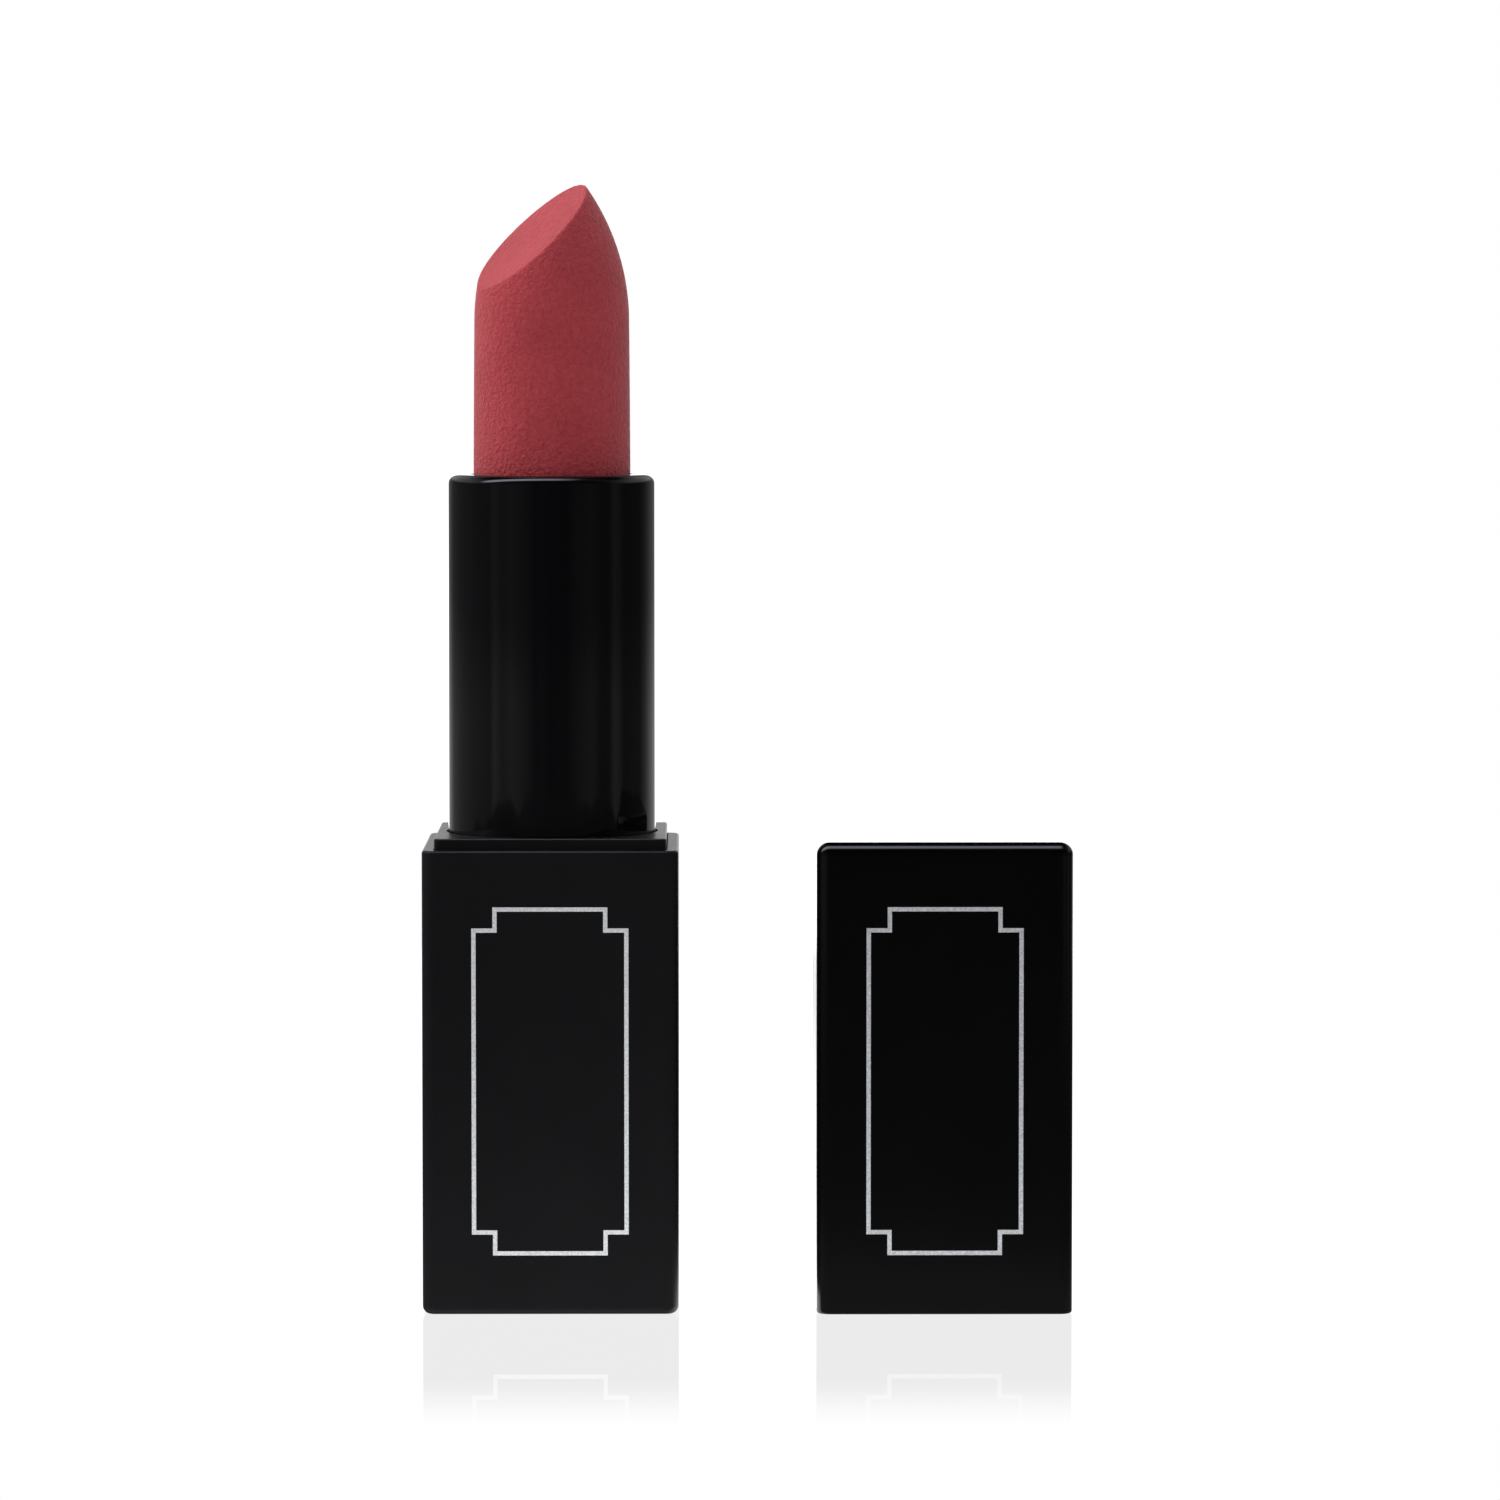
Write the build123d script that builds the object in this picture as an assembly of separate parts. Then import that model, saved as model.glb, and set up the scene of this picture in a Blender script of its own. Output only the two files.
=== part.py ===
from build123d import *
from math import asin, cos, degrees, pi, radians, sin
import os

# A twist-up lipstick in a square case. All sizes are in millimetres.
# The origin is on the lipstick's axis, in the plane it stands on. +Z is up and -Y is the decorated front.
# The cap stands beside the lipstick, mouth down, in +X. The lipstick is wound all the way up.

# Square case
case_width = 19.5          # outside of base and cap
case_corner = 1.0          # rounding of the upright edges
inner_corner = 0.35        # rounding of the upright edges inside the shells
base_height = 35.4         # foot to the seam where the cap closes
base_wall = 0.9
base_floor = 1.2
foot_edge = 0.6            # rounding round the foot
seam_edge = 0.2            # rounding of the shells where they meet
cap_wall = 0.8
cap_top = 1.2
crown_edge = 0.95          # rounding round the top of the cap
cap_distance = 30.0        # lipstick axis to the axis of the cap beside it
moulding_gap = 0.03        # between a shell and the moulding glued into it

# Register that centres the cap on the base
collar_rise = 0.87         # how far the core stands out of the base shell
collar_edge = 0.12

# Sleeve that carries the cap and hides the mechanism
sleeve_rise = 27.3         # collar to rim
sleeve_wall = 0.5
sleeve_lip = 0.55          # thickness of the turned-in rim
sleeve_rim_edge = 0.7
sleeve_lip_edge = 0.2
lip_gap = 0.3              # between the rim and the bullet
well_gap = 0.15            # between the sleeve and the core it turns in
well_depth_gap = 0.3
sleeve_neck = 0.2          # how much slimmer the sleeve is inside the well

# Bullet
bullet_radius = 6.05
bullet_draft = 0.12        # how much slimmer it is where the nose begins
bullet_reach = 22.6        # tip above the rim when wound up
bullet_sink = 0.9          # tip below the rim when wound down
nose_length = 10.7         # start of the nose to the tip
nose_radius = 18.0         # of the arc that closes the nose
cut_slope = 45.3           # of the slanted face, degrees from level
cut_turn = 25.0            # of the slanted face towards the front, degrees from -X
cut_drop = 2.4             # tip down to where the slanted face crosses the axis
cut_edge = 0.3

# Cup, guide tube and spiral
cup_wall = 0.4
cup_floor = 0.6
cup_height = 10.0
cup_clearance = 0.42       # cup to the underside of the rim
cup_vent = 1.5
cup_ribs = 6
cup_rib = 0.3
cup_rib_width = 0.4
running_gap = 0.07         # cup to guide
guide_wall = 0.45
spiral_gap = 0.05          # guide to spiral
spiral_wall = 0.46
seat_gap = 0.02            # spiral to the sleeve it is glued into
lug_radius = 0.8
lug_lift = 1.4             # lug axis above the foot of the cup
lug_end_gap = 0.1          # lug to sleeve
slot_gap = 0.05            # each side of a lug
spiral_end_ring = 1.2      # solid ring at the lower end of the spiral
spiral_turns = 1.5         # from wound up to wound down
bead_height = 0.6          # snap bead that holds the spiral down
bead_out = 0.27
bead_drop = 0.8            # top of the guide to the underside of the rim
bead_gap = 0.1
brake_section = 0.24       # radius of the ring's section
brake_room = 0.6           # shoulder to spiral
sleeve_tail = 1.0          # sleeve below the spiral
foot_wall = 0.26           # how much stouter the guide's foot is
foot_length = 11.0
foot_floor = 1.2
socket_gap = 0.02

# Core inside the base
core_floor = 1.2
core_skirt = 5.6           # hollow under the core
core_skirt_wall = 1.2
weight_gap = 0.25

# Liner inside the cap
liner_inset = 1.1          # mouth of the cap to the liner
liner_bore_gap = 0.35      # around the sleeve
liner_ribs = 8
liner_rib_width = 0.6
liner_rib_gap = 0.08       # rib to sleeve
liner_rib_start = 2.0      # mouth of the liner to the ribs
liner_top = 1.0
head_room = 3.13           # over the rim with the cap on
cap_weight = 2.4
glue_gap = 0.1

# Magnets in the four corners of base and cap
magnet_radius = 1.25
magnet_length = 4.0
magnet_gap = 0.02
magnet_skin = 0.4          # plastic over a magnet's end
magnet_wall = 0.48         # plastic beside a magnet's hole

# Trim
frame_line = 0.43          # width of the silver line
frame_side_margin = 3.72
frame_notch = 1.6          # step in each corner of the frame
base_frame_margins = (4.5, 4.2)
cap_frame_margins = (4.5, 4.8)
foil_thickness = 0.05
label_radius = 6.5
label_thickness = 0.1
label_recess = 0.15
label_gap = 0.2

# Radii, from the bullet outwards
cup_radius = bullet_radius + cup_wall
guide_inner = cup_radius + running_gap
guide_radius = guide_inner + guide_wall
spiral_inner = guide_radius + spiral_gap
spiral_radius = spiral_inner + spiral_wall
sleeve_inner = spiral_radius + seat_gap
sleeve_radius = sleeve_inner + sleeve_wall
lip_radius = bullet_radius + lip_gap
well_radius = sleeve_radius + well_gap
foot_radius = guide_radius + foot_wall
socket_radius = foot_radius + socket_gap
core_width = case_width - 2 * (base_wall + moulding_gap)
liner_width = case_width - 2 * (cap_wall + moulding_gap)

# Heights, from the rim downwards
collar_top = base_height + collar_rise
rim = collar_top + sleeve_rise
cup_top = rim - sleeve_lip - cup_clearance
cup_bottom = cup_top - cup_height
travel = bullet_reach + bullet_sink
lug_high = cup_bottom + lug_lift
lug_low = lug_high - travel
climb = travel / (2 * pi * spiral_turns)                  # rise per radian of twist
slot_half = (lug_radius + slot_gap) / cos(asin(climb / (climb**2 + spiral_inner**2) ** 0.5))
guide_top = rim - sleeve_lip - bead_drop
spiral_top = guide_top - bead_height - bead_gap
spiral_bottom = lug_low - slot_half - spiral_end_ring
shoulder = spiral_bottom - brake_room
sleeve_bottom = spiral_bottom - sleeve_tail
well_bottom = sleeve_bottom - well_depth_gap
foot_bottom = sleeve_bottom - foot_length
core_floor_bottom = foot_bottom - core_floor
core_bottom = core_floor_bottom - core_skirt

# Heights in the cap, from its mouth upwards
liner_bore_top = collar_rise + sleeve_rise + head_room
liner_height = liner_bore_top + liner_top
cap_height = liner_height + cap_weight + glue_gap + cap_top
cap_place = Pos(cap_distance, 0, 0)


def square_bar(width, bottom, top, corner):
    outline = RectangleRounded(width, width, corner)
    return Pos(0, 0, bottom) * extrude(outline, top - bottom)


def round_bar(radius, bottom, top):
    return Pos(0, 0, bottom) * extrude(Circle(radius), top - bottom)


def tube(outer, inner, bottom, top):
    return Pos(0, 0, bottom) * extrude(Circle(outer) - Circle(inner), top - bottom)


def corners(width, radius):
    # Centres of the four corner holes, each with its wall of plastic outside it.
    reach = width / 2 - magnet_wall - radius
    return [(x * reach, y * reach) for x in (-1, 1) for y in (-1, 1)]


def corner_holes(width, bottom, top):
    radius = magnet_radius + magnet_gap
    hole = round_bar(radius, bottom, top)
    return [Pos(x, y, 0) * hole for x, y in corners(width, radius)]


def magnet_group(width, bottom):
    magnet = round_bar(magnet_radius, bottom, bottom + magnet_length)
    magnet = chamfer(magnet.edges(), magnet_gap * 5)
    return [Pos(x, y, 0) * magnet for x, y in corners(width, magnet_radius + magnet_gap)]


def edges_at(shape, height):
    return shape.edges().filter_by_position(Axis.Z, height - 0.001, height + 0.001)


def make_base_shell():
    shell = square_bar(case_width, 0, base_height, case_corner)
    shell = fillet(edges_at(shell, 0), foot_edge)
    shell = fillet(edges_at(shell, base_height), seam_edge)
    shell -= square_bar(case_width - 2 * base_wall, base_floor, base_height + 1, inner_corner)
    return shell - round_bar(label_radius + label_gap, -1, label_recess)


def make_base_core():
    # Stands on the weight, holds the guide's foot and lets the sleeve turn in its well.
    core = square_bar(core_width, core_bottom, collar_top, inner_corner)
    core = fillet(edges_at(core, collar_top), collar_edge)
    core -= round_bar(well_radius, well_bottom, collar_top + 1)
    core -= round_bar(socket_radius, foot_bottom, well_bottom + 1)
    core -= square_bar(core_width - 2 * core_skirt_wall, core_bottom - 1, core_floor_bottom, inner_corner)
    return core - corner_holes(core_width, core_bottom - 1, collar_top - magnet_skin)


def make_base_weight():
    width = case_width - 2 * (base_wall + weight_gap)
    block = square_bar(width, base_floor, core_bottom, inner_corner)
    return chamfer(edges_at(block, core_bottom), weight_gap)


def make_base_label():
    return round_bar(label_radius, label_recess - label_thickness, label_recess)


def silver_frame(height, margins):
    # A thin line round the front face, stepped in at its corners.
    below, above = margins
    width = case_width - 2 * frame_side_margin
    length = height - below - above
    outline = Rectangle(width, length)
    outline -= [
        Pos(x * width / 2, z * length / 2) * Rectangle(2 * frame_notch, 2 * frame_notch)
        for x in (-1, 1)
        for z in (-1, 1)
    ]
    line = outline - offset(outline, -frame_line, kind=Kind.INTERSECTION)
    front = Plane((0, -case_width / 2, below + length / 2), x_dir=(1, 0, 0), z_dir=(0, -1, 0))
    return front * extrude(line, foil_thickness)


def make_guide():
    # Slotted tube that keeps the cup from turning. Its stout foot is pressed into the core.
    guide = tube(guide_radius, guide_inner, foot_bottom, guide_top)
    guide += tube(foot_radius, guide_inner, foot_bottom, shoulder)
    guide += round_bar(guide_inner + guide_wall / 2, foot_bottom, foot_bottom + foot_floor)
    guide += tube(guide_radius + bead_out, guide_inner, guide_top - bead_height, guide_top)
    slot_end = lug_radius + 2 * slot_gap
    slot_width = 2 * (lug_radius + slot_gap)
    slot_height = travel + 2 * slot_end
    slot = Box(4 * guide_radius, slot_width, slot_height, align=(Align.CENTER, Align.CENTER, Align.MIN))
    return guide - Pos(0, 0, lug_low - slot_end) * slot


def make_brake_ring():
    height = shoulder + brake_room / 2
    return Pos(0, 0, height) * Torus((guide_radius + sleeve_inner) / 2, brake_section)


def make_sleeve():
    sleeve = round_bar(sleeve_radius, collar_top, rim)
    sleeve = fillet(edges_at(sleeve, rim), sleeve_rim_edge)
    sleeve += round_bar(sleeve_radius - sleeve_neck, sleeve_bottom, collar_top)
    sleeve -= round_bar(sleeve_inner, sleeve_bottom - 1, rim - sleeve_lip)
    sleeve -= round_bar(lip_radius, sleeve_bottom - 1, rim + 1)
    mouth = edges_at(sleeve, rim).filter_by(lambda edge: edge.radius < lip_radius + sleeve_lip_edge)
    return fillet(mouth, sleeve_lip_edge)


def helical_slot(turn):
    # A right-handed slot through the spiral's wall, as high as a lug needs on the slope.
    past = (lug_radius + 2 * slot_gap) / spiral_inner
    swept = 2 * pi * spiral_turns + 2 * past
    middle = (spiral_inner + spiral_radius) / 2
    path = Helix(2 * pi * climb, climb * swept, middle)
    section = Pos(middle, 0, 0) * (Plane.XZ * Rectangle(3 * spiral_wall, 2 * slot_half))
    ribbon = sweep(section, path, is_frenet=True)
    start = turn - degrees(2 * pi * spiral_turns + past)
    return Pos(0, 0, lug_low - climb * past) * (Rot(0, 0, start) * ribbon)


def make_spiral():
    spiral = tube(spiral_radius, spiral_inner, spiral_bottom, spiral_top)
    return spiral - [helical_slot(turn) for turn in (0, 180)]


def make_cup():
    # Holds the bullet, and climbs the spiral on two lugs through the guide's slots.
    cup = tube(cup_radius, bullet_radius, cup_bottom, cup_top)
    cup += tube(cup_radius, cup_vent, cup_bottom, cup_bottom + cup_floor)
    rib_height = cup_height * 0.7
    rib = Box(cup_rib + cup_wall / 2, cup_rib_width, rib_height, align=(Align.MIN, Align.CENTER, Align.MIN))
    rib = Pos(bullet_radius - cup_rib, 0, cup_bottom + cup_floor) * rib
    cup += [Rot(0, 0, 360 * (i + 0.5) / cup_ribs) * rib for i in range(cup_ribs)]
    inner_end = bullet_radius + cup_wall / 2
    lug_length = sleeve_inner - lug_end_gap - inner_end
    lug = Cylinder(lug_radius, lug_length, align=(Align.CENTER, Align.CENTER, Align.MIN))
    lug = Pos(inner_end, 0, lug_high) * (Rot(0, 90, 0) * lug)
    return cup + [Rot(0, 0, turn) * lug for turn in (0, 180)]


def make_bullet(cup):
    # A drafted stick with an arched nose and one slanted face.
    stem = cup_bottom + cup_floor
    nose = rim + bullet_reach - nose_length
    shoulder_radius = bullet_radius - bullet_draft
    arc_centre = shoulder_radius - nose_radius
    apex = nose + (nose_radius**2 - arc_centre**2) ** 0.5
    middle = asin((apex - nose) / nose_radius) / 2
    arc_middle = (arc_centre + nose_radius * cos(middle), nose + nose_radius * sin(middle))
    shoulder = (shoulder_radius, nose)
    side = Polyline((0, apex), (0, stem), (bullet_radius, stem), (bullet_radius, cup_top), shoulder)
    outline = make_face(side + ThreePointArc(shoulder, arc_middle, (0, apex)))
    stick = revolve(Plane.XZ * outline, Axis.Z)
    slope = radians(cut_slope)
    turn = radians(cut_turn)
    outward = Vector(-cos(turn) * sin(slope), -sin(turn) * sin(slope), cos(slope))
    cut = Plane((0, 0, rim + bullet_reach - cut_drop), z_dir=outward)
    reach = 4 * bullet_radius
    stick -= cut * Box(reach, reach, reach, align=(Align.CENTER, Align.CENTER, Align.MIN))
    slanted = stick.faces().filter_by(lambda face: face.normal_at().dot(outward) > 0.999)
    stick = fillet(slanted.edges(), cut_edge)
    return stick - cup


def make_cap_shell():
    shell = square_bar(case_width, 0, cap_height, case_corner)
    shell = fillet(edges_at(shell, cap_height), crown_edge)
    shell = fillet(edges_at(shell, 0), seam_edge)
    return shell - square_bar(case_width - 2 * cap_wall, -1, cap_height - cap_top, inner_corner)


def make_cap_liner():
    liner = square_bar(liner_width, liner_inset, liner_height, inner_corner)
    bore = sleeve_radius + liner_bore_gap
    liner -= round_bar(bore, liner_inset - 1, liner_bore_top)
    rib_inner = sleeve_radius + liner_rib_gap
    start = liner_inset + liner_rib_start
    rib = Box(
        bore - rib_inner + liner_rib_gap,
        liner_rib_width,
        liner_bore_top - start,
        align=(Align.MIN, Align.CENTER, Align.MIN),
    )
    rib = Pos(rib_inner, 0, start) * rib
    liner += [Rot(0, 0, 360 * i / liner_ribs) * rib for i in range(liner_ribs)]
    return liner - corner_holes(liner_width, liner_inset + magnet_skin, liner_height + 1)


def make_cap_weight():
    width = case_width - 2 * (cap_wall + weight_gap)
    plate = square_bar(width, liner_height, liner_height + cap_weight, inner_corner)
    return chamfer(edges_at(plate, liner_height + cap_weight), weight_gap)


def all_parts():
    cup = make_cup()
    parts = {
        "base_shell": make_base_shell(),
        "base_core": make_base_core(),
        "base_weight": make_base_weight(),
        "base_label": make_base_label(),
        "base_foil": silver_frame(base_height, base_frame_margins),
        "guide_tube": make_guide(),
        "brake_ring": make_brake_ring(),
        "sleeve": make_sleeve(),
        "spiral": make_spiral(),
        "cup": cup,
        "bullet": make_bullet(cup),
        "cap_shell": cap_place * make_cap_shell(),
        "cap_liner": cap_place * make_cap_liner(),
        "cap_weight": cap_place * make_cap_weight(),
        "cap_foil": cap_place * silver_frame(cap_height, cap_frame_margins),
    }
    for i, magnet in enumerate(magnet_group(core_width, collar_top - magnet_skin - magnet_length)):
        parts[f"base_magnet_{i + 1}"] = magnet
    for i, magnet in enumerate(magnet_group(liner_width, liner_inset + magnet_skin)):
        parts[f"cap_magnet_{i + 1}"] = cap_place * magnet
    return parts


os.makedirs("parts", exist_ok=True)
for name, shape in all_parts().items():
    export_step(shape, f"parts/{name}.step")

print(f"travel {travel:.2f} mm, {climb:.4f} mm per radian")
print(f"rim {rim:.2f}, cap height {cap_height:.2f}")
print(f"sleeve bottom {sleeve_bottom:.2f}, foot {foot_bottom:.2f}")
print(f"weight {core_bottom - base_floor:.2f} mm high, sleeve radius {sleeve_radius:.2f}")
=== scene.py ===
import math

import bmesh
import bpy
from mathutils import Matrix, Vector


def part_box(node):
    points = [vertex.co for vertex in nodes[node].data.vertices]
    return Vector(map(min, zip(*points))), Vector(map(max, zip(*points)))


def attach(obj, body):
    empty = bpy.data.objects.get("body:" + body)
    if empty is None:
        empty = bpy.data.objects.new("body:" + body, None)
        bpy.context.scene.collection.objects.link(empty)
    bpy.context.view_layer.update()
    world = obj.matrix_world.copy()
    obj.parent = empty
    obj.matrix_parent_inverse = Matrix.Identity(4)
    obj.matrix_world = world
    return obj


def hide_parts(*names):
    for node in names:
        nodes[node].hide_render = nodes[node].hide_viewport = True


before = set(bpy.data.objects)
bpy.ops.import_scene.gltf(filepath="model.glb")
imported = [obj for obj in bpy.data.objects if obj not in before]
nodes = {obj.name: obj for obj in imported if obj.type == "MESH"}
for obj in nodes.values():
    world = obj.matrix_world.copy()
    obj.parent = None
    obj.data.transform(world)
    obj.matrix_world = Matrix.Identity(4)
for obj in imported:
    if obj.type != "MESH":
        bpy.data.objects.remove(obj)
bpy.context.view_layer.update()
mm = 0.001
poleGap = 0.001 * mm                                 # points of a swept pole closer than this become one
weldGap = 0.002 * mm                                 # points of a finished mesh closer than this become one
print("stage: frame loaded,", len(nodes), "nodes")


def linear(code):
    # "#rrggbb" in sRGB to the linear colour that nodes take
    channels = [int(code[i:i + 2], 16) / 255 for i in (1, 3, 5)]
    return [c / 12.92 if c <= 0.04045 else ((c + 0.055) / 1.055) ** 2.4 for c in channels] + [1.0]


def perMetre(sizeMm):
    # a texture's Scale for cells of this size
    return 1 / (sizeMm * mm)


def setStops(ramp, stops):
    # grey levels at positions along a value, joined by straight lines
    first, last = ramp.elements[0], ramp.elements[1]
    first.position, last.position = stops[0][0], stops[-1][0]
    for element, level in ((first, stops[0][1]), (last, stops[-1][1])):
        element.color = (level, level, level, 1)
    for position, level in stops[1:-1]:
        ramp.elements.new(position).color = (level, level, level, 1)


def addNode(tree, kind, settings={}, links={}):
    # settings are properties, input values by name or number, or a ramp's stops
    node = tree.nodes.new(kind)
    for key, value in settings.items():
        if key == "stops":
            setStops(node.color_ramp, value)
        elif isinstance(key, str) and hasattr(node, key):
            setattr(node, key, value)
        else:
            node.inputs[key].default_value = value
    for key, source in links.items():
        tree.links.new(source, node.inputs[key])
    return node


def addChain(tree, known, plan):
    # adds the planned nodes in turn: links name earlier values, and each node's first output takes its own name
    for name, kind, settings, links in plan:
        sources = {key: known[source] for key, source in links.items()}
        known[name] = addNode(tree, kind, settings, sources).outputs[0]


def newMaterial(name, settings):
    # a Principled material with its tree, its shader and Object coordinates
    material = bpy.data.materials.new(name)
    material.use_nodes = True
    tree = material.node_tree
    shader = tree.nodes["Principled BSDF"]
    for key, value in settings.items():
        shader.inputs[key].default_value = value
    place = addNode(tree, "ShaderNodeTexCoord").outputs["Object"]
    return material, tree, shader, place


def dress(tree, shader, look, tone, shine, bump):
    # colour between two tones, roughness between two ends, and a bump, all led into the shader
    dark, light = linear(look["dark"]), linear(look["light"])
    colour = addNode(tree, "ShaderNodeMix", {"data_type": "RGBA", 6: dark, 7: light}, {0: tone})
    least, most = look["roughness"]
    rough = addNode(tree, "ShaderNodeMapRange", {"To Min": least, "To Max": most}, {"Value": shine})
    tree.links.new(colour.outputs[2], shader.inputs["Base Color"])
    tree.links.new(rough.outputs["Result"], shader.inputs["Roughness"])
    tree.links.new(bump.outputs["Normal"], shader.inputs["Normal"])


def finishMesh(mesh, sharpDegrees=32):
    # doubles merged, faces outward, round where it is round and crisp at real edges
    work = bmesh.new()
    work.from_mesh(mesh)
    bmesh.ops.remove_doubles(work, verts=work.verts, dist=weldGap)
    bmesh.ops.recalc_face_normals(work, faces=work.faces)
    work.to_mesh(mesh)
    work.free()
    mesh.shade_smooth()
    mesh.set_sharp_from_angle(angle=math.radians(sharpDegrees))
    return mesh


def newPiece(name, mesh, material, body, replaced):
    mesh.name = name
    mesh.materials.clear()
    mesh.materials.append(material)
    piece = bpy.data.objects.new(name, mesh)
    bpy.context.scene.collection.objects.link(piece)
    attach(piece, body)
    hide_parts(replaced)


def makeSoftTouchBlack(name, look):
    # Matt soft-touch lacquer sprayed on moulded ABS: near black, a broad dim sheen, and a fine dry grain.
    # The real grain is finer still, and it is drawn coarse enough to show.
    material, tree, shader, place = newMaterial(name, {"IOR": 1.46, "Specular IOR Level": look["specular"]})
    cloud = addNode(tree, "ShaderNodeTexNoise", {"Scale": perMetre(look["cloudMm"]), "Detail": 3.0},
                    {"Vector": place})
    grain = addNode(tree, "ShaderNodeTexNoise", {"Scale": perMetre(look["grainMm"]), "Detail": 2.0},
                    {"Vector": place})
    depth = look["grainDepthMm"] * mm
    bump = addNode(tree, "ShaderNodeBump", {"Strength": look["grainStrength"], "Distance": depth},
                   {"Height": grain.outputs["Fac"]})
    dress(tree, shader, look, cloud.outputs["Fac"], cloud.outputs["Fac"], bump)
    return material


def makeGlossLacquer():
    # Black lacquer over drawn aluminium: a deep mirror gloss with faint upright draw marks showing through.
    look = {"dark": "#08080a", "light": "#101013", "roughness": (0.035, 0.075),
            "markMm": 0.9, "stretch": 0.03, "waveMm": 2.6, "waveDepthMm": 0.004}
    material, tree, shader, place = newMaterial("glossLacquer", {
        "IOR": 1.48, "Coat Weight": 0.15, "Coat Roughness": 0.02})
    drawn = addNode(tree, "ShaderNodeMapping", {"Scale": (1, 1, look["stretch"])}, {"Vector": place})
    marks = addNode(tree, "ShaderNodeTexNoise", {"Scale": perMetre(look["markMm"]), "Detail": 4.0},
                    {"Vector": drawn.outputs["Vector"]})
    wave = addNode(tree, "ShaderNodeTexNoise", {"Scale": perMetre(look["waveMm"]), "Detail": 1.0},
                   {"Vector": drawn.outputs["Vector"]})
    bump = addNode(tree, "ShaderNodeBump", {"Strength": 1.0, "Distance": look["waveDepthMm"] * mm},
                   {"Height": wave.outputs["Fac"]})
    dress(tree, shader, look, marks.outputs["Fac"], marks.outputs["Fac"], bump)
    return material


def makeMouldedSkin(name, look):
    # Moulded plastic, moulded silicone or coated paper: even colour, a soft gloss, and a slightly wavy skin.
    material, tree, shader, place = newMaterial(name, {"IOR": look["ior"]})
    cloud = addNode(tree, "ShaderNodeTexNoise", {"Scale": perMetre(look["cloudMm"]), "Detail": 4.0},
                    {"Vector": place})
    skin = addNode(tree, "ShaderNodeTexNoise", {"Scale": perMetre(look["skinMm"]), "Detail": 2.0},
                   {"Vector": place})
    bump = addNode(tree, "ShaderNodeBump", {"Strength": 0.6, "Distance": look["skinDepthMm"] * mm},
                   {"Height": skin.outputs["Fac"]})
    dress(tree, shader, look, cloud.outputs["Fac"], cloud.outputs["Fac"], bump)
    return material


def makeLipstickWax():
    # Matt lipstick: pigmented wax, moulded smooth, with a dry velvety bloom and a pebbled skin of wax grain.
    # The real grain is finer and shallower, and it is drawn coarse enough to show. The colour holds painted
    # shade in the grain's hollows, mixed with a random cloudy tone: below the first limit all is deep, and
    # above the second all is pale.
    look = {"dark": "#b2323b", "light": "#da4d57", "roughness": (0.5, 0.66), "cloudMm": 5.0, "pebbleMm": 0.36,
            "grainMm": 0.19, "pebbleDepthMm": 0.17, "grainDepthMm": 0.11, "softness": 0.02, "softMm": 0.6,
            "grainShare": 0.5, "skinShare": 0.7, "hollowShadeAndTone": (0.28, 0.72)}
    material, tree, shader, place = newMaterial("lipstickWax", {
        "IOR": 1.44, "Subsurface Weight": look["softness"], "Subsurface Radius": (1.0, 0.35, 0.3),
        "Subsurface Scale": look["softMm"] * mm, "Sheen Weight": 0.12, "Sheen Roughness": 0.45})
    cloud = addNode(tree, "ShaderNodeTexNoise", {"Scale": perMetre(look["cloudMm"]), "Detail": 5.0},
                    {"Vector": place})
    pebble = addNode(tree, "ShaderNodeTexNoise", {"Scale": perMetre(look["pebbleMm"]), "Detail": 2.0},
                     {"Vector": place})
    grain = addNode(tree, "ShaderNodeTexNoise", {"Scale": perMetre(look["grainMm"]), "Detail": 2.0},
                    {"Vector": place})
    skin = addNode(tree, "ShaderNodeMix", {"data_type": "FLOAT", 0: look["grainShare"]},
                   {2: pebble.outputs["Fac"], 3: grain.outputs["Fac"]})
    # painted shade: the grain's heights set the colour, so its hollows come out darker, mixed with a random
    # cloudy tone
    toneAndHollowShade = addNode(tree, "ShaderNodeMix", {"data_type": "FLOAT", 0: look["skinShare"]},
                     {2: cloud.outputs["Fac"], 3: skin.outputs[0]})
    # limits of the painted hollow shade and the cloudy tone
    deep, pale = look["hollowShadeAndTone"]
    hollowShadeAndTone = addNode(tree, "ShaderNodeMapRange", {"From Min": deep, "From Max": pale},
                     {"Value": toneAndHollowShade.outputs[0]})
    coarse = addNode(tree, "ShaderNodeBump", {"Strength": 1.0, "Distance": look["pebbleDepthMm"] * mm},
                     {"Height": pebble.outputs["Fac"]})
    fine = addNode(tree, "ShaderNodeBump", {"Strength": 1.0, "Distance": look["grainDepthMm"] * mm},
                   {"Height": grain.outputs["Fac"], "Normal": coarse.outputs["Normal"]})
    dress(tree, shader, look, hollowShadeAndTone.outputs["Result"], grain.outputs["Fac"], fine)
    return material


def makeSilverFoil(name, look):
    # Hot-stamped silver foil on a matt ground: metal flakes that each catch the light a little differently.
    # Real flakes are far smaller; they are drawn coarse enough to show as a faint sparkle.
    material, tree, shader, place = newMaterial(name, {"Metallic": look["metal"]})
    flakes = addNode(tree, "ShaderNodeTexVoronoi", {"Scale": perMetre(look["flakeMm"])}, {"Vector": place})
    tone = addNode(tree, "ShaderNodeSeparateColor", {}, {"Color": flakes.outputs["Color"]})
    bump = addNode(tree, "ShaderNodeBump", {"Strength": 1.0, "Distance": look["flakeDepthMm"] * mm},
                   {"Height": tone.outputs["Blue"]})
    dress(tree, shader, look, tone.outputs["Red"], tone.outputs["Green"], bump)
    return material


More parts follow.
